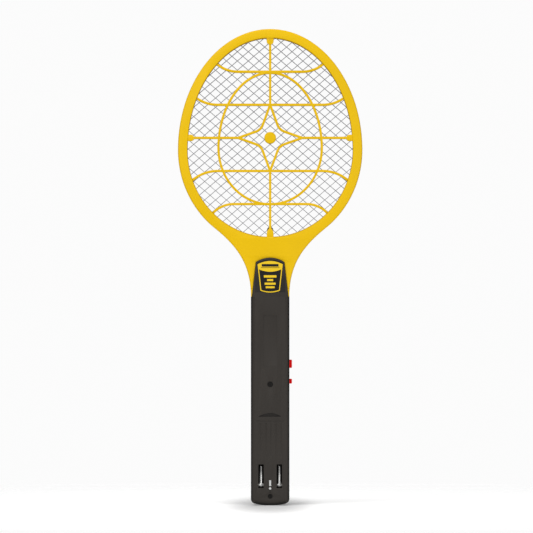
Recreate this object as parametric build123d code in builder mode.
from build123d import *

import os
from math import atan2, cos, hypot, radians, sin, sqrt, tan

os.makedirs("parts", exist_ok=True)

# An electric fly swatter, standing on the end of its handle. Sizes are in millimetres.
# +Z runs from the handle's end to the top of the head, +X is to the right of somebody
# who looks at the front, and the front faces -Y. Nearly everything is made in two halves
# that meet at y = 0, so a "depth" below is the distance from that parting plane, and a
# "side" is +1 for the front half and -1 for the rear half. Heights are measured from a datum
# line a little above the lowest point of the handle's end, and each piece is moved up by that
# much as it is written, so that the finished racket stands on z = 0.
FRONT, REAR = 1, -1

# ---- driving dimensions ---------------------------------------------------------------
total_height = 469.9
datum_height = 1.3       # height of the datum line above the lowest point
head_top_z = total_height - datum_height
fit_gap = 0.3            # clearance beside a part that slides or turns
wall = 2.2               # moulded wall

# head
head_z = 349.3           # height of the oval's widest place
head_half_width = 91.0
head_rise = head_top_z - head_z
head_drop = 96.7
opening_half_width = 81.5
opening_rise = 110.0
opening_drop = 85.7
rim_depth = 9.0          # half of the head's thickness
opening_rounding = 0.9
outline_rounding = 1.6
net_half_width = 86.0
net_rise = 114.8
net_drop = 91.0
net_gap = 0.2            # clearance round the edge of a net in its pocket
net_thickness = 0.6
outer_net_depth = 6.4    # depth of the outer nets' outer faces
ring_width = 3.4         # width of the spacer rings between the nets
neck_bend_angle = 53.0   # where the head's outline leaves the oval for the neck

# grille on each face of the head
rib_width = 2.3
rib_depth = 7.9
lug_depth = 8.1          # just under the rounding of the opening's edge
middle_row_z = 361.2
row_pitch = 32.65
star_waist = (9.1, 8.0)
star_waist_radius = 11.0
star_half_width = 31.6
egg_z = 351.2
egg_oval = (51.0, 74.3, 55.5)    # half width, rise and drop of the egg-shaped rib
# each horizontal rib: number from the middle, straight half length, half length, rise of its bend
bent_rows = ((2, 32, 54, 8.9), (1, 52, 74, 7.6), (-1, 52, 78, 10.4), (-2, 36, 59, 12.0))
top_lug = (456.8, 3.5)           # height and radius of its rounded end
side_lug = (78.1, 3.1)           # x and radius of their rounded ends
bottom_lug = ((3.5, 262.0), (3.2, 268.8), (1.15, 271.9))    # right-hand half of its outline
button_radius = 5.8
button_depth = 8.5
button_stem_radius = 1.5

# diamond net
diamond_width = 10.78
diamond_height = 9.15
strand = 0.55
net_border = 1.8         # solid edge round each net
smallest_hole = 3.0      # area below which a cut-off diamond is left solid
net_node_z = 364.0       # one crossing of two strands on the centre line

# neck
neck_foot_half_width = 18.9
neck_foot_depth = 12.5
neck_top_z = 262.0       # the neck is as thin as the head from here up
neck_waist = (27.0, 240.7)       # a point on the neck's hollow edge
spigot_gap = 0.2
spigot_corner = 2.6
# right-hand half of the room for the leads inside the neck, from the spigot up
cavity_edge = ((14.0, 190.0), (14.0, 212.0), (21.0, 238.0), (21.0, 246.0), (5.0, 250.0), (5.0, 262.0))
spigot_length = 14.4
tongue_top_z = 242.9
tongue_shoulder_z = 238.7
tongue_half_width = 18.0
tongue_shoulder_half_width = 14.0
tongue_seat = 0.8        # how far the tongue is let into the neck
tongue_rise = (2.5, 1.9)     # how far it stands above the neck, at the handle and at its top
label_thickness = 0.25
label_foot = (9.9, 210.2)        # its lower and upper right-hand corners
label_shoulder = (12.9, 237.5)
label_reach_z = (208.2, 241.0)   # the lowest and highest points of its bowed ends

# handle
handle_half_width = 19.0
handle_depth = 15.0
handle_top_z = 204.4
handle_corner = 5.0
handle_end_bow = 2.6     # how much lower the middle of the end is than its corners
handle_edge = 4.5        # rounding of the long edges

# controls on the right-hand side
control_reach = 21.5     # x of their outer faces
push_half_depth = 3.0
slide_half_depth = 2.5
push_z = (134.15, 142.35)
slide_z = (118.7, 123.4)
slide_travel = 2.0

# fold-out plug
pin_x = 9.0
pin_radius = 2.0
pin_tip_z = 38.2
pivot_z = 18.5
pivot_depth = 10.5
axle_radius = 1.5
running_gap = 0.05
eye_radius = 2.45
eye_half_width = 2.2
pin_rounding = 1.4
axle_reach = 13.2

# inside the handle
screw_z = (118.1, 7.7)
board_depths = (-3.0, -4.6)      # behind the parting plane
board_z = (98.0, 186.0)
board_half_width = 15.0
board_post_z = (104.0, 181.0)
board_post_x = 11.5
battery_z = (44.0, 90.0)
battery_half_width = 15.0
battery_depths = (4.0, -12.0)


# ---- helpers --------------------------------------------------------------------------
def save(piece, name):
    """Stand a finished piece on z = 0, label it and write it, one file for each node."""
    piece.part = piece.part.moved(Location((0, 0, datum_height)))
    piece.part.label = name
    export_step(piece.part, f"parts/{name}.step")
    print(f"{name}: {len(piece.part.solids())} solids, {piece.part.volume:.0f} cubic mm")


def upright(depth, x=0.0, z=0.0):
    """The upright plane at a depth, seen from the front: its own axes are +X and +Z."""
    return Plane(origin=(x, -depth, z), x_dir=(1, 0, 0), z_dir=(0, -1, 0))


def block(x_range, depth_range, z_range, mode=Mode.ADD):
    """A box between two corners, with its thickness given as two depths."""
    x_low, x_high = sorted(x_range)
    near, far = sorted(depth_range)
    z_low, z_high = sorted(z_range)
    with Locations(((x_low + x_high) / 2, -(near + far) / 2, (z_low + z_high) / 2)):
        Box(x_high - x_low, far - near, z_high - z_low, mode=mode)


def peg(x, z, radius, depth_range, mode=Mode.ADD):
    """A round bar or hole that runs from front to back."""
    near, far = sorted(depth_range)
    with BuildSketch(upright(near, x, z)) as section:
        Circle(radius)
    extrude(section.sketch, amount=far - near, mode=mode)


def crosswise(x_range, depth, z, radius, mode=Mode.ADD):
    """A round bar or hole that runs from left to right."""
    x_low, x_high = sorted(x_range)
    with BuildSketch(Plane(origin=(x_low, -depth, z), x_dir=(0, 1, 0), z_dir=(1, 0, 0))) as section:
        Circle(radius)
    extrude(section.sketch, amount=x_high - x_low, mode=mode)


def oval_edge(half_width, rise, drop, centre_z=head_z):
    """Two half-ellipses that meet at their widest place, as a closed edge."""
    with BuildLine() as edge:
        EllipticalCenterArc((0, centre_z), half_width, rise, 0, arc_size=180)
        EllipticalCenterArc((0, centre_z), half_width, drop, 180, arc_size=180)
    return edge.line


def oval(half_width, rise, drop, centre_z=head_z, mode=Mode.ADD):
    """The flat face inside such an edge."""
    make_face(oval_edge(half_width, rise, drop, centre_z), mode=mode)


def grown(oval_size, amount):
    """An oval's three sizes, each made larger by an amount."""
    return tuple(size + amount for size in oval_size)


def wire(points, diameter, name):
    """A held lead: straight runs joined by the largest arcs that they leave room for."""
    corners = [Vector(*point) for point in points]
    radii = []
    for before, here, after in zip(corners, corners[1:], corners[2:]):
        arriving = here - before
        leaving = after - here
        half_turn = radians(arriving.get_angle(leaving)) / 2
        radii.append(0.45 * min(arriving.length, leaving.length) / tan(half_turn))
    with BuildPart() as lead:
        with BuildLine() as route:
            FilletPolyline(*points, radius=radii)
        with BuildSketch(Plane(origin=route.line @ 0, z_dir=route.line % 0)):
            Circle(diameter / 2)
        sweep()
    print(f"{name}: bend radii {', '.join(f'{radius:.1f}' for radius in radii)}")
    return lead


# ---- head: two moulded halves of rim and neck, each with a grille across its opening ------
opening_oval = (opening_half_width, opening_rise, opening_drop)
net_oval = (net_half_width, net_rise, net_drop)


def frame_outline():
    """The head's outer edge, which runs on in a hollow curve to the foot of the neck."""
    with BuildLine() as outline:
        right = EllipticalCenterArc(
            (0, head_z), head_half_width, head_drop, -neck_bend_angle, arc_size=neck_bend_angle
        )
        EllipticalCenterArc((0, head_z), head_half_width, head_rise, 0, arc_size=180)
        left = EllipticalCenterArc(
            (0, head_z), head_half_width, head_drop, 180, arc_size=neck_bend_angle
        )
        away = right % 0
        Spline(
            (neck_foot_half_width, handle_top_z),
            neck_waist,
            right @ 0,
            tangents=[(0, 1), (away.X, away.Y)],
        )
        Spline(
            left @ 1,
            (-neck_waist[0], neck_waist[1]),
            (-neck_foot_half_width, handle_top_z),
            tangents=[(away.X, -away.Y), (0, -1)],
        )
        Line((-neck_foot_half_width, handle_top_z), (neck_foot_half_width, handle_top_z))
    make_face(outline.line)


def depth_profile(side, foot_depth, head_depth, foot_z, top_z):
    """A side view that is thick at the foot of the neck and thin at the head."""
    foot_y = -side * foot_depth
    head_y = -side * head_depth
    with BuildSketch(Plane.YZ) as profile:
        with BuildLine():
            Polyline((foot_y, handle_top_z), (foot_y, foot_z), (0, foot_z), (0, top_z))
            Polyline((0, top_z), (head_y, top_z), (head_y, neck_top_z))
            TangentArc((head_y, neck_top_z), (foot_y, handle_top_z), tangent=(0, -1))
        make_face()
    return profile


def rib_rows():
    """Horizontal ribs: straight in the middle, then bent away from the centre row."""
    for row, straight, reach, rise in bent_rows:
        height = middle_row_z + row * row_pitch
        end_height = height + rise * (1 if row > 0 else -1)
        with BuildLine() as middle:
            Line((-straight, height), (straight, height))
        trace(middle.line, line_width=rib_width)
        for hand in (1, -1):
            with BuildLine() as bend:
                TangentArc((hand * straight, height), (hand * reach, end_height), tangent=(hand, 0))
            trace(bend.line, line_width=rib_width)


def rib_star():
    """The four-pointed outline round the centre button."""
    for right in (1, -1):
        for up in (1, -1):
            with BuildLine() as side_of_star:
                FilletPolyline(
                    (right * star_half_width, middle_row_z),
                    (right * star_waist[0], middle_row_z + up * star_waist[1]),
                    (0, middle_row_z + up * row_pitch),
                    radius=star_waist_radius,
                )
            trace(side_of_star.line, line_width=rib_width)


def rib_oval():
    """The egg-shaped rib that crosses the rows."""
    oval(*grown(egg_oval, rib_width / 2), egg_z)
    oval(*grown(egg_oval, -rib_width / 2), egg_z, mode=Mode.SUBTRACT)


def build_grille(side):
    """The ribs on one face of the head and the four lugs that they spring from. They end
    at the wall of the opening, where the moulding carries on into the rim."""
    opening_top = head_z + opening_rise
    opening_bottom = head_z - opening_drop
    overrun = 2.0
    with BuildPart() as grille:
        with BuildSketch(upright(side * rib_depth)) as ribs:
            rib_oval()
            rib_rows()
            rib_star()
            for low, high in (
                (opening_bottom - overrun, middle_row_z - row_pitch),
                (middle_row_z + row_pitch, opening_top + overrun),
            ):
                with Locations((0, (low + high) / 2)):
                    Rectangle(rib_width, high - low)
            length = opening_half_width + overrun - star_half_width
            for hand in (1, -1):
                with Locations((hand * (star_half_width + length / 2), middle_row_z)):
                    Rectangle(length, rib_width)
            oval(*opening_oval, mode=Mode.INTERSECT)
        extrude(amount=-side * (rib_depth - outer_net_depth))
        with BuildSketch(upright(side * lug_depth)):
            top_z, top_radius = top_lug
            with Locations((0, top_z)):
                Circle(top_radius)
            with Locations((0, (top_z + opening_top + overrun) / 2)):
                Rectangle(2 * top_radius, opening_top + overrun - top_z)
            side_x, side_radius = side_lug
            for hand in (1, -1):
                with Locations((hand * side_x, middle_row_z)):
                    Circle(side_radius)
                with Locations((hand * (side_x + opening_half_width + overrun) / 2, middle_row_z)):
                    Rectangle(opening_half_width + overrun - side_x, 2 * side_radius)
            with BuildLine():
                left_half = [(-x, z) for x, z in reversed(bottom_lug)]
                Polyline(*bottom_lug, *left_half, close=True)
            make_face()
            oval(*opening_oval, mode=Mode.INTERSECT)
        extrude(amount=-side * (lug_depth - outer_net_depth))
    return grille


def build_neck_cavity(side):
    """The room for the leads inside the neck, open to the handle and to the nets."""
    with BuildPart() as cavity:
        with BuildSketch(upright(side * handle_depth)):
            with BuildLine():
                left_edge = [(-x, z) for x, z in reversed(cavity_edge)]
                Polyline(*cavity_edge, *left_edge, close=True)
            make_face()
        extrude(amount=-side * handle_depth)
        profile = depth_profile(
            side, neck_foot_depth - wall - tongue_seat, outer_net_depth + 0.2, 180.0, 270.0
        )
        extrude(profile.sketch, amount=60, both=True, mode=Mode.INTERSECT)
    return cavity


def tongue_outline(margin=0.0):
    """The tapered tongue with an arched top that laps over the foot of the neck."""
    foot = tongue_half_width + margin
    shoulder = tongue_shoulder_half_width + margin
    with BuildLine() as outline:
        Polyline(
            (-shoulder, tongue_shoulder_z),
            (-foot, handle_top_z),
            (foot, handle_top_z),
            (shoulder, tongue_shoulder_z),
        )
        ThreePointArc(
            (shoulder, tongue_shoulder_z), (0, tongue_top_z + margin), (-shoulder, tongue_shoulder_z)
        )
    make_face(outline.line)


def neck_depth(z):
    """Depth of the neck's hollow face at a height: an arc that starts upright at its top."""
    drop = neck_top_z - handle_top_z
    spread = neck_foot_depth - rim_depth
    arc_radius = (drop**2 + spread**2) / (2 * spread)
    return rim_depth + arc_radius - sqrt(arc_radius**2 - (neck_top_z - z) ** 2)


def tongue_band(side, inner, outer):
    """A side view of a layer that lies along the neck's face. Its inner and outer surfaces
    are each given as two heights above the neck, at the handle and above the tongue's top."""
    top_z = tongue_top_z + 2
    foot = neck_depth(handle_top_z)
    top = neck_depth(top_z)
    with BuildSketch(Plane.YZ) as band:
        with BuildLine():
            Polyline(
                (-side * (foot + inner[0]), handle_top_z),
                (-side * (foot + outer[0]), handle_top_z),
                (-side * (top + outer[1]), top_z),
                (-side * (top + inner[1]), top_z),
                close=True,
            )
        make_face()
    return band


def build_tongue_seat(side):
    """The shallow seat in the neck that the handle's tongue drops into."""
    with BuildPart() as seat:
        with BuildSketch(upright(side * handle_depth)):
            tongue_outline(margin=0.15)
        extrude(amount=-side * handle_depth)
        band = tongue_band(side, (-tongue_seat, -tongue_seat), (3.0, 3.0))
        extrude(band.sketch, amount=30, both=True, mode=Mode.INTERSECT)
    return seat


def build_frame(side):
    """One half of the yellow moulding without its grille: rim, net pocket and neck."""
    with BuildPart() as frame:
        with BuildSketch(upright(side * handle_depth)):
            frame_outline()
            oval(*opening_oval, mode=Mode.SUBTRACT)
        extrude(amount=-side * handle_depth)
        profile = depth_profile(side, neck_foot_depth, rim_depth, 180.0, total_height + 1)
        extrude(profile.sketch, amount=head_half_width + 1, both=True, mode=Mode.INTERSECT)

        # rounded edges: the opening's first, then the outline's
        face_edges = frame.edges().filter_by(GeomType.LINE, reverse=True).filter_by(
            lambda edge: -side * (edge @ 0.5).Y > rim_depth - 0.1
        )
        opening_edges = face_edges.filter_by(
            lambda edge: abs((edge @ 0.5).X) < 1 and (edge @ 0.5).Z < head_top_z - 1
        )
        fillet(opening_edges, radius=opening_rounding)
        face_edges = frame.edges().filter_by(GeomType.LINE, reverse=True).filter_by(
            lambda edge: -side * (edge @ 0.5).Y > rim_depth - 0.1
        )
        outline_edges = face_edges.filter_by(
            lambda edge: abs((edge @ 0.5).X) > 1 or (edge @ 0.5).Z > head_top_z - 1
        )
        fillet(outline_edges, radius=outline_rounding)

        # spigot that the handle shells grip
        with BuildSketch(Plane.XY.offset(handle_top_z - spigot_length)):
            with BuildLine():
                half = handle_half_width - wall - spigot_gap
                deep = handle_depth - wall - 0.3
                Polyline((-half, 0), (-half, -side * deep), (half, -side * deep), (half, 0), close=True)
            make_face()
        extrude(amount=spigot_length)
        spigot_edges = frame.edges().filter_by(Axis.Z).filter_by(
            lambda edge: (edge @ 0.5).Z < handle_top_z and abs((edge @ 0.5).Y) > 10
        )
        fillet(spigot_edges, radius=spigot_corner)

        # pocket for the nets and the spacer rings
        with BuildSketch(upright(side * outer_net_depth)):
            oval(*grown(net_oval, net_gap))
        extrude(amount=-side * outer_net_depth, mode=Mode.SUBTRACT)

        add(build_neck_cavity(side).part, mode=Mode.SUBTRACT)

        add(build_tongue_seat(side).part, mode=Mode.SUBTRACT)
    return frame


save(build_frame(FRONT), "front_frame")
save(build_frame(REAR), "rear_frame")
save(build_grille(FRONT), "front_grille")
save(build_grille(REAR), "rear_grille")


# ---- nets: flat sheets pierced by diamonds, and the rings that hold them apart ------------
def clipped_diamond(x, z):
    """One diamond hole. Near the net's edge the part beyond the solid border is cut off."""
    lean = atan2(diamond_height, diamond_width)
    half_x = diamond_width / 2 - strand / 2 / sin(lean)
    half_z = diamond_height / 2 - strand / 2 / cos(lean)
    corners = [(x + half_x, z), (x, z + half_z), (x - half_x, z), (x, z - half_z)]
    half_width = net_half_width - net_border
    height = (net_rise if z > head_z else net_drop) - net_border
    reach = hypot(x / half_width, (z - head_z) / height)
    if reach == 0:
        return corners
    slope_x = x / half_width**2
    slope_z = (z - head_z) / height**2

    def beyond(corner):
        return slope_x * (corner[0] - x / reach) + slope_z * (corner[1] - head_z - (z - head_z) / reach)

    kept = []
    for start, end in zip(corners, corners[1:] + corners[:1]):
        if beyond(start) <= 0:
            kept.append(start)
        if (beyond(start) < 0) != (beyond(end) < 0):
            share = beyond(start) / (beyond(start) - beyond(end))
            kept.append(tuple(a + share * (b - a) for a, b in zip(start, end)))
    return kept


def polygon_area(corners):
    """Area inside a closed outline."""
    turns = [a[0] * b[1] - b[0] * a[1] for a, b in zip(corners, corners[1:] + corners[:1])]
    return abs(sum(turns)) / 2


def build_net(depth):
    """One sheet of the net, with its back at a depth."""
    plane = upright(depth)
    columns = round(net_half_width / diamond_width) + 1
    rows = round(net_rise / diamond_height) + 3
    holes = []
    for column in range(-2 * columns, 2 * columns + 1):
        for row in range(-2 * rows, 2 * rows + 1):
            if (column + row) % 2 == 0:
                continue
            corners = clipped_diamond(column * diamond_width / 2, net_node_z + row * diamond_height / 2)
            if len(corners) > 2 and polygon_area(corners) > smallest_hole:
                points = [plane.from_local_coords((x, z, 0)) for x, z in corners]
                holes.append(Wire.make_polygon(points, close=True))
    edge = Wire(oval_edge(*net_oval).edges())
    sheet = Face(plane.from_local_coords(edge), holes)
    with BuildPart() as net:
        extrude(sheet, amount=net_thickness)
    print(f"net at depth {depth}: {len(holes)} holes")
    return net


save(build_net(outer_net_depth - net_thickness), "front_net")
save(build_net(-net_thickness / 2), "charged_net")
save(build_net(-outer_net_depth), "rear_net")

for name, side in (("front_spacer_ring", FRONT), ("rear_spacer_ring", REAR)):
    with BuildPart() as ring:
        with BuildSketch(upright(side * net_thickness / 2)):
            oval(*net_oval)
            oval(*grown(net_oval, -ring_width), mode=Mode.SUBTRACT)
        extrude(amount=side * (outer_net_depth - net_thickness * 1.5))
    save(ring, name)

# centre button: a rivet through all three nets, with a collar in each gap
button_rounding = 0.9
button_skin = 0.8        # what is left of the rear button beyond the end of the rivet
with BuildPart() as front_button:
    peg(0, middle_row_z, button_radius, (outer_net_depth, button_depth))
    fillet(front_button.faces().sort_by(Axis.Y)[0].edges(), radius=button_rounding)
    peg(0, middle_row_z, button_stem_radius, (-button_depth + button_skin, outer_net_depth))
save(front_button, "centre_button_front")

with BuildPart() as rear_button:
    peg(0, middle_row_z, button_radius, (-button_depth, -outer_net_depth))
    fillet(rear_button.faces().sort_by(Axis.Y)[-1].edges(), radius=button_rounding)
    stem_hole = (-button_depth + button_skin, -outer_net_depth)
    peg(0, middle_row_z, button_stem_radius, stem_hole, mode=Mode.SUBTRACT)
save(rear_button, "centre_button_rear")

collar_radius = 3.4
collar_near = net_thickness / 2
collar_far = outer_net_depth - net_thickness
with BuildPart() as collars:
    for side in (FRONT, REAR):
        peg(0, middle_row_z, collar_radius, (side * collar_near, side * collar_far))
    peg(0, middle_row_z, button_stem_radius, (-collar_far, collar_far), mode=Mode.SUBTRACT)
save(collars, "centre_collars")

# black sleeves over the joints at the bottom of the nets, one in each gap
sleeve_z = 270.3
sleeve_radius = 3.1
sleeve_gap = 0.1
with BuildPart() as sleeves:
    for side in (FRONT, REAR):
        peg(0, sleeve_z, sleeve_radius, (side * (collar_near + sleeve_gap), side * (collar_far - sleeve_gap)))
save(sleeves, "terminal_sleeves")

# tabs that carry each net's edge down into the neck
tab_half_width = 2.0
tab_z = (247.0, head_z - net_drop)
net_depths = (outer_net_depth - net_thickness / 2, 0.0, -outer_net_depth + net_thickness / 2)
with BuildPart() as tabs:
    for depth in net_depths:
        block(
            (-tab_half_width, tab_half_width), (depth - net_thickness / 2, depth + net_thickness / 2), tab_z
        )
save(tabs, "net_terminals")


# ---- handle shells ----------------------------------------------------------------------
def handle_body(side, inset):
    """Half of the handle's outer shape, made smaller all round by an inset."""
    half_width = handle_half_width - inset
    end_z = inset - datum_height
    corner_z = end_z + handle_end_bow
    with BuildPart() as body:
        with BuildSketch(upright(side * (handle_depth - inset))) as outline:
            with BuildLine():
                Polyline(
                    (-half_width, corner_z),
                    (-half_width, handle_top_z),
                    (half_width, handle_top_z),
                    (half_width, corner_z),
                )
                ThreePointArc((half_width, corner_z), (0, end_z), (-half_width, corner_z))
            make_face()
            fillet(outline.vertices().group_by(Axis.Y)[0], radius=handle_corner - inset)
        extrude(amount=-side * (handle_depth - inset))
        outer_face = body.faces().sort_by(Axis.Y)[0 if side == FRONT else -1]
        rounded = outer_face.edges().filter_by(lambda edge: (edge @ 0.5).Z < handle_top_z - 1)
        fillet(rounded, radius=handle_edge - inset)
    return body


def cut_control_windows():
    """Windows in the right-hand wall for the push button and the slide switch."""
    reach = (handle_half_width - wall - 1, handle_half_width + 1)
    push_window = push_half_depth + fit_gap
    block(reach, (-push_window, push_window), (push_z[0] - fit_gap, push_z[1] + fit_gap), Mode.SUBTRACT)
    slide_window = slide_half_depth + fit_gap
    slot = (slide_z[0] - fit_gap, slide_z[1] + slide_travel + fit_gap)
    block(reach, (-slide_window, slide_window), slot, Mode.SUBTRACT)


def build_tongue(side):
    """The tongue, a sloping plate let into the neck and level with the shell at its foot."""
    with BuildPart() as tongue:
        with BuildSketch(upright(side * handle_depth)):
            tongue_outline()
        extrude(amount=-side * handle_depth)
        band = tongue_band(side, (-tongue_seat, -tongue_seat), tongue_rise)
        extrude(band.sketch, amount=30, both=True, mode=Mode.INTERSECT)
        outer_edges = tongue.edges().filter_by(
            lambda edge: -side * (edge @ 0.5).Y > neck_depth((edge @ 0.5).Z) + 1.0
            and (edge @ 0.5).Z > handle_top_z + 1
        )
        fillet(outer_edges, radius=0.8)
    return tongue


def build_handle_shell(side):
    """A hollow half of the handle with its tongue."""
    with BuildPart() as shell:
        add(handle_body(side, 0).part)
        add(handle_body(side, wall).part, mode=Mode.SUBTRACT)
        add(build_tongue(side).part)
        cut_control_windows()
    return shell


slot_half_width = 2.65
slot_z = (15.9, 39.2)
pocket_wall = 1.2
pocket_floor_depths = (8.0, 6.8)
pocket_floor_z = 24.0
inner_face = handle_depth - wall
recess_radii = (2.85, 2.4)
recess_depth = 3.5
boss_radii = (3.7, 3.4)
screw_hole_radius = 1.5
pilot_radius = 1.3
pilot_length = 9.0
axle_bore_reach = 13.5
battery_rib_z = (52.0, 84.0)
battery_rib_half_width = 10.0
light_bar = (1.0, 17.8, 23.6)      # half width, foot and top
light_dot = (1.2, 15.45)           # radius and height
panel = (6.75, 136.0, 186.0, 0.35)     # half width, foot, top and depth
notch_left = (-11.5, 86.2)
notch_right = (10.9, 86.2)
notch_crown = ((6.5, 88.6), (-6.5, 88.6))
ledge = (13.4, 81.6, 82.1, 0.3)    # half width, foot, top and depth
groove_x = (-9.5, -4.1, 0.6, 5.7, 10.7)
groove = (0.5, 48.0, 80.0, 0.2)    # half width, foot, top and depth
board_post_radius = 2.4
board_screw_radius = 1.0

def sink(x, recess):
    """Sink a shallow oblong recess into the front face."""
    half_width, low, high, depth = recess
    sunk = (handle_depth + 1, handle_depth - depth)
    block((x - half_width, x + half_width), sunk, (low, high), Mode.SUBTRACT)


with BuildPart() as front_shell:
    add(build_handle_shell(FRONT).part)

    # pockets for the folded pins, whose side walls also carry the pins' axle
    for hand in (1, -1):
        middle = hand * pin_x
        outer_half = slot_half_width + pocket_wall
        pocket_z = (slot_z[0] - pocket_wall, slot_z[1] + pocket_wall)
        block((middle - outer_half, middle + outer_half), (inner_face, pocket_floor_depths[1]), pocket_z)
        across = (middle - slot_half_width, middle + slot_half_width)
        block(across, (handle_depth + 1, pocket_floor_depths[0]), slot_z, Mode.SUBTRACT)
        open_z = (slot_z[0], pocket_floor_z)
        block(across, (handle_depth + 1, pocket_floor_depths[1] - 1), open_z, Mode.SUBTRACT)
    bore = (-axle_bore_reach, axle_bore_reach)
    crosswise(bore, pivot_depth, pivot_z, axle_radius + running_gap, Mode.SUBTRACT)

    # screw bosses with sunk recesses
    for z, recess, boss in zip(screw_z, recess_radii, boss_radii):
        peg(0, z, boss, (inner_face + 0.5, 0))
        peg(0, z, recess, (handle_depth + 1, handle_depth - recess_depth), Mode.SUBTRACT)
        peg(0, z, screw_hole_radius, (handle_depth, -1), Mode.SUBTRACT)

    # ribs that press on the battery
    for z in battery_rib_z:
        rib = (-battery_rib_half_width, battery_rib_half_width)
        block(rib, (inner_face + 0.5, battery_depths[0]), (z - 0.7, z + 0.7))

    # window for the charge light: a bar above a dot
    bar_half_width, bar_low, bar_high = light_bar
    through = (handle_depth + 1, inner_face - 0.2)
    block((-bar_half_width, bar_half_width), through, (bar_low, bar_high), Mode.SUBTRACT)
    dot_radius, dot_z = light_dot
    peg(0, dot_z, dot_radius, through, Mode.SUBTRACT)

    # shallow panel, ledge line, five plain grooves and a thumb notch in the front face
    sink(0, panel)
    sink(0, ledge)
    for x in groove_x:
        sink(x, groove)
    with BuildSketch(upright(handle_depth - 1.2)):
        with BuildLine():
            Line(notch_left, notch_right)
            Spline(notch_right, *notch_crown, notch_left)
        make_face()
    extrude(amount=3, mode=Mode.SUBTRACT)
save(front_shell, "front_handle_shell")

with BuildPart() as rear_shell:
    add(build_handle_shell(REAR).part)
    for z, boss in zip(screw_z, boss_radii):
        peg(0, z, boss, (-inner_face - 0.5, 0))
        peg(0, z, pilot_radius, (0, -pilot_length), Mode.SUBTRACT)
    for x in (-board_post_x, board_post_x):
        for z in board_post_z:
            peg(x, z, board_post_radius, (-inner_face - 0.5, board_depths[1]))
            peg(x, z, board_screw_radius, (board_depths[1], -inner_face + 1.5), Mode.SUBTRACT)
save(rear_shell, "rear_handle_shell")

# screws through the front shell into the rear shell's bosses
seat_depth = handle_depth - recess_depth
screw_head = 1.8
cross = (3.0, 0.7)       # length and width of each arm of the cross in a screw's head
with BuildPart() as handle_screws:
    for z, recess in zip(screw_z, recess_radii):
        peg(0, z, recess - 0.2, (seat_depth, seat_depth + screw_head))
        peg(0, z, pilot_radius, (seat_depth, -pilot_length + 1))
        for length, width in (cross, reversed(cross)):
            arm_z = (z - width / 2, z + width / 2)
            block((-length / 2, length / 2), (seat_depth + 0.8, seat_depth + 2), arm_z, Mode.SUBTRACT)
save(handle_screws, "handle_screws")

# label on the tongue: a thin plate that follows its slope
with BuildPart() as badge:
    with BuildSketch(upright(handle_depth + 1)):
        with BuildLine():
            foot_left = (-label_foot[0], label_foot[1])
            shoulder_left = (-label_shoulder[0], label_shoulder[1])
            Line(shoulder_left, foot_left)
            ThreePointArc(foot_left, (0, label_reach_z[0]), label_foot)
            Line(label_foot, label_shoulder)
            ThreePointArc(label_shoulder, (0, label_reach_z[1]), shoulder_left)
        make_face()
    extrude(amount=-handle_depth)
    face = tongue_band(FRONT, tongue_rise, tuple(rise + label_thickness for rise in tongue_rise))
    extrude(face.sketch, amount=30, both=True, mode=Mode.INTERSECT)
save(badge, "badge_label")


# ---- controls ---------------------------------------------------------------------------
shoulder_x = handle_half_width - wall - fit_gap      # outer face of what stays behind the wall
push_shoulder_x = 15.2
push_shoulder = 1.3      # how far the shoulder stands out round the push button
push_centre_z = (push_z[0] + push_z[1]) / 2
plunger_radius = 1.7
press_face_x = 12.5      # inner end of the push button's spring
switch_back_x = 7.4
switch_depths = (-3.0, 3.2)
with BuildPart() as push_button:
    block((shoulder_x - 0.1, control_reach), (-push_half_depth, push_half_depth), push_z)
    fillet(push_button.faces().sort_by(Axis.X)[-1].edges(), radius=0.8)
    shoulder_half_depth = push_half_depth + push_shoulder
    shoulder_z = (push_z[0] - push_shoulder, push_z[1] + push_shoulder)
    block((push_shoulder_x, shoulder_x), (-shoulder_half_depth, shoulder_half_depth), shoulder_z)
save(push_button, "push_button")

with BuildPart() as plunger:
    crosswise((11.3, push_shoulder_x), 0, push_centre_z, plunger_radius)
save(plunger, "press_plunger")

with BuildPart() as press_switch:
    block((switch_back_x, press_face_x), switch_depths, (push_centre_z - 3, push_centre_z + 3))
    guide_x = (9.4, press_face_x + 1)
    crosswise(guide_x, 0, push_centre_z, plunger_radius + running_gap, Mode.SUBTRACT)
save(press_switch, "press_switch_body")

spring_turns = 3
spring_wire = 0.35
spring_length = push_shoulder_x - press_face_x - spring_wire
spring_radius = 2.5
with BuildPart() as button_spring:
    with BuildLine() as coil:
        Helix(
            pitch=spring_length / spring_turns,
            height=spring_length,
            radius=spring_radius,
            center=(press_face_x + spring_wire / 2, 0, push_centre_z),
            direction=(1, 0, 0),
        )
    with BuildSketch(Plane(origin=coil.line @ 0, z_dir=coil.line % 0)):
        Circle(spring_wire / 2)
    sweep(is_frenet=True)
save(button_spring, "button_spring")

flange_x = 14.9
flange_z = (116.2, 126.2)
finger_x = (12.2, 15.0)
finger_z = (119.85, 122.25)
finger_half_depth = 1.2
slide_switch_z = (114.6, 128.6)
with BuildPart() as slide_knob:
    block((flange_x + 0.1, control_reach), (-slide_half_depth, slide_half_depth), slide_z)
    fillet(slide_knob.faces().sort_by(Axis.X)[-1].edges(), radius=0.7)
    block((flange_x, shoulder_x), (-4.0, 4.0), flange_z)
    block(finger_x, (-finger_half_depth, finger_half_depth), finger_z)
save(slide_knob, "slide_knob")

with BuildPart() as slide_switch:
    block((switch_back_x, 14.5), switch_depths, slide_switch_z)
    room = finger_half_depth + fit_gap
    room_z = (finger_z[0] - fit_gap, finger_z[1] + slide_travel + fit_gap)
    block((finger_x[0] - 0.4, finger_x[1]), (-room, room), room_z, Mode.SUBTRACT)
save(slide_switch, "slide_switch_body")


# ---- fold-out plug ------------------------------------------------------------------------
with BuildPart() as axle:
    crosswise((-axle_reach, axle_reach), pivot_depth, pivot_z, axle_radius)
save(axle, "plug_axle")

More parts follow.
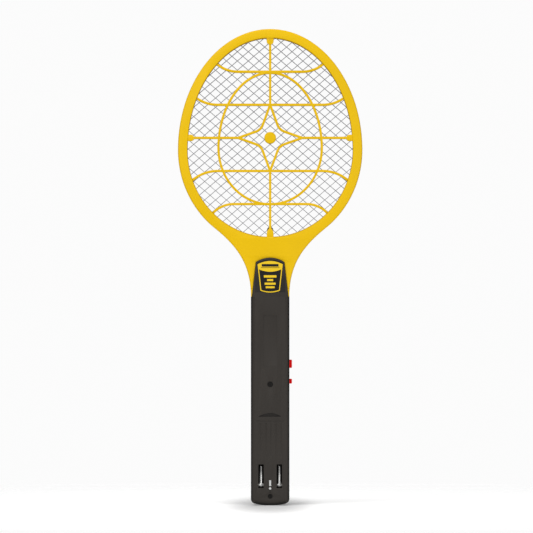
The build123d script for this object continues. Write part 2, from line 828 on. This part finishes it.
for name, hand in (("plug_pin_left", -1), ("plug_pin_right", 1)):
    with BuildPart() as pin:
        eye_x = (hand * pin_x - eye_half_width, hand * pin_x + eye_half_width)
        crosswise(eye_x, pivot_depth, pivot_z, eye_radius)
        with BuildSketch(Plane.XY.offset(pivot_z)):
            with Locations((hand * pin_x, -pivot_depth)):
                Circle(pin_radius)
        extrude(amount=pin_tip_z - pivot_z)
        fillet(pin.faces().sort_by(Axis.Z)[-1].edges(), radius=pin_rounding)
        crosswise(eye_x, pivot_depth, pivot_z, axle_radius, Mode.SUBTRACT)
    save(pin, name)

cradle_radius = 2.1
sleeve_x = (2.2, 4.85)             # each of the cradle's two sleeves on the axle
bridge_depths = (pivot_depth - 1.55, pivot_depth - 3.2)
bridge_half = (4.0, 1.2)
with BuildPart() as cradle:
    for hand in (1, -1):
        crosswise((hand * sleeve_x[0], hand * sleeve_x[1]), pivot_depth, pivot_z, cradle_radius)
    bridge_x, bridge_z = bridge_half
    block((-bridge_x, bridge_x), bridge_depths, (pivot_z - bridge_z, pivot_z + bridge_z))
    crosswise((-6, 6), pivot_depth, pivot_z, axle_radius, Mode.SUBTRACT)
save(cradle, "plug_cradle")

contact_depths = (7.6, 7.2)
contact_half_width = 1.5
contact_foot_z = 16.2
with BuildPart() as contacts:
    for hand in (1, -1):
        across = (hand * pin_x - contact_half_width, hand * pin_x + contact_half_width)
        block(across, contact_depths, (contact_foot_z, pocket_floor_z))
save(contacts, "plug_contacts")

detent_half_width = 3.0
detent_z = (11.4, 34.0)
with BuildPart() as detent:
    across = (-detent_half_width, detent_half_width)
    block(across, (5.6, 5.3), detent_z)
    crosswise(across, 5.75, 22.0, 0.6)
save(detent, "plug_detent_spring")

light_gap = 0.05
plate_thickness = 0.5
with BuildPart() as light_pipe:
    bar_x = light_bar[0] - light_gap
    bar_z = (light_bar[1] + light_gap, light_bar[2] - light_gap)
    block((-bar_x, bar_x), (handle_depth - 0.1, inner_face), bar_z)
    peg(0, light_dot[1], light_dot[0] - light_gap, (handle_depth, inner_face))
    block((-1.6, 1.6), (inner_face, inner_face - plate_thickness), (14.2, 24.2))
save(light_pipe, "charge_light_pipe")

with BuildPart() as led:
    peg(0, 14.8, 1.3, (inner_face - plate_thickness, inner_face - 4.8))
save(led, "charge_led")


# ---- battery and circuit --------------------------------------------------------------------
with BuildPart() as battery:
    block((-battery_half_width, battery_half_width), battery_depths, battery_z)
    fillet(battery.edges().filter_by(Axis.Z), radius=1.5)
    chamfer(battery.faces().sort_by(Axis.Z)[-1].edges(), length=0.6)
save(battery, "battery")

battery_tab_x = (-9.0, 9.0)
battery_tab_depths = (-3.8, -4.2)
with BuildPart() as battery_tabs:
    for x in battery_tab_x:
        block((x - 2, x + 2), battery_tab_depths, (battery_z[1], battery_z[1] + 4.5))
save(battery_tabs, "battery_tabs")

with BuildPart() as battery_foam:
    block((-12, 12), (battery_depths[1], -inner_face), (50, 84))
save(battery_foam, "battery_foam")

board_notch = (12.8, 112.5, 146.0)     # where it clears the controls: inner x, foot and top
with BuildPart() as board:
    block((-board_half_width, board_half_width), board_depths, board_z)
    fillet(board.edges().filter_by(Axis.Y), radius=1.0)
    block((board_notch[0], board_half_width + 1), board_depths, board_notch[1:], Mode.SUBTRACT)
    peg(0, screw_z[0], boss_radii[0] + 0.4, board_depths, Mode.SUBTRACT)
    for x in (-board_post_x, board_post_x):
        for z in board_post_z:
            peg(x, z, 1.2, board_depths, Mode.SUBTRACT)
save(board, "circuit_board")

with BuildPart() as board_screws:
    for x in (-board_post_x, board_post_x):
        for z in board_post_z:
            peg(x, z, 2.0, (board_depths[0], board_depths[0] + 1.4))
            peg(x, z, 1.0, (board_depths[0], board_depths[1] - 5.0))
save(board_screws, "board_screws")

# step-up transformer: a core with two windows, a bobbin round its middle leg, a winding
core_z = 168.0
core_depth = 2.6
core_half_width = 8.5
core_half_height = 6.5
window_x = 5.9
window_half_height = 4.0
leg = 2.5
bobbin_skin = 3.2
bobbin_cheek = 5.6
coil_half = 5.3


def slab(x_range, half_depth, z_range, mode=Mode.ADD):
    """A block centred on the transformer's depth."""
    block(x_range, (core_depth - half_depth, core_depth + half_depth), z_range, mode)


with BuildPart() as core:
    slab((-core_half_width, core_half_width), leg, (core_z - core_half_height, core_z + core_half_height))
    window_z = (core_z - window_half_height, core_z + window_half_height)
    for hand in (1, -1):
        slab((hand * leg, hand * window_x), leg + 1, window_z, Mode.SUBTRACT)
save(core, "transformer_core")

with BuildPart() as bobbin:
    slab((-bobbin_skin, bobbin_skin), bobbin_skin, window_z)
    for z in (core_z - 3.6, core_z + 3.6):
        slab((-bobbin_cheek, bobbin_cheek), bobbin_cheek, (z - 0.4, z + 0.4))
    slab((-leg, leg), leg, (core_z - core_half_height, core_z + core_half_height), Mode.SUBTRACT)
save(bobbin, "transformer_bobbin")

with BuildPart() as winding:
    slab((-coil_half, coil_half), coil_half, (core_z - 3.2, core_z + 3.2))
    fillet(winding.edges().filter_by(Axis.Z), radius=1.2)
    slab((-bobbin_skin, bobbin_skin), bobbin_skin, window_z, Mode.SUBTRACT)
save(winding, "transformer_winding")


def boxed_capacitor(x_range, depth_range, z_range):
    """A moulded film capacitor that stands on the board."""
    with BuildPart() as capacitor:
        block(x_range, depth_range, z_range)
        fillet(capacitor.edges().filter_by(Axis.Y), radius=1.0)
    return capacitor


board_top = board_depths[0]
save(boxed_capacitor((-13.5, -4.5), (board_top, 8.0), (136.0, 155.0)), "high_voltage_capacitor")
save(boxed_capacitor((-13.5, -6.5), (board_top, 7.0), (108.5, 121.0)), "charging_capacitor")

booster_x = 4.5
booster_z = (143.0, 150.0, 157.0)
with BuildPart() as boosters:
    for z in booster_z:
        peg(booster_x, z, 2.6, (board_top, board_top + 2))
save(boosters, "multiplier_capacitors")

diode_z = (124.0, 127.5, 131.0)
diode_radius = 1.3
with BuildPart() as diodes:
    for z in diode_z:
        crosswise((-12.0, -7.0), board_top + diode_radius, z, diode_radius)
save(diodes, "diodes")

resistor_x = (-7.6, -4.7, 4.7, 7.6)
resistor_radius = 1.2
resistor_length = 6.5
with BuildPart() as resistors:
    for x in resistor_x:
        with BuildSketch(Plane.XY.offset(175.5)):
            with Locations((x, -board_top - resistor_radius)):
                Circle(resistor_radius)
        extrude(amount=resistor_length)
save(resistors, "resistors")

transistor_z = 130.0
transistor_height = 5.0
with BuildPart() as transistor:
    with BuildSketch(upright(board_top, 0, transistor_z)):
        Circle(2.4)
        with Locations((0, -2.2)):
            Rectangle(6, 2, mode=Mode.SUBTRACT)
    extrude(amount=transistor_height)
save(transistor, "power_transistor")


# ---- leads ------------------------------------------------------------------------------------
board_face = -board_top
net_lead_width = 1.2
battery_lead_width = 1.0
net_lead_ends = (
    ("front_net_lead", net_depths[0], -3.0),
    ("charged_net_lead", net_depths[1], 0.0),
    ("rear_net_lead", net_depths[2], 3.0),
)
for name, depth, x in net_lead_ends:
    route = (
        (0, -depth, tab_z[0]),
        (0, -depth, tab_z[0] - 8),
        (x * 0.7, -depth * 0.8 - 1, 222),
        (x, -depth * 0.3 - 3.5, 208),
        (x, -5, 194),
        (x, -5, 183),
        (x, board_face, 183),
    )
    save(wire(route, net_lead_width, name), name)

for name, hand in (("left_plug_lead", -1), ("right_plug_lead", 1)):
    route = (
        (hand * pin_x, -contact_depths[1], 20.0),
        (hand * pin_x, -2.8, 20.0),
        (hand * 9.6, -2.8, 28.0),
        (hand * 11.8, -4.8, 36.5),
        (hand * 12.9, -6.4, 46),
        (hand * 13.3, -7.0, 60),
        (hand * 12.9, -6.6, 76),
        (hand * 11.4, -5.0, 90),
        (hand * 8.0, -4.0, 98),
        (hand * 7.2, -4.0, 105),
        (hand * 7.2, board_face, 105),
    )
    save(wire(route, net_lead_width, name), name)

for name, x in zip(("battery_lead_negative", "battery_lead_positive"), battery_tab_x):
    route = (
        (x, 3.8, 92.6),
        (x, -0.6, 92.6),
        (x * 0.7, -1.8, 97.0),
        (x * 0.48, -1.8, 102.0),
        (x * 0.48, board_face, 102.0),
    )
    save(wire(route, battery_lead_width, name), name)
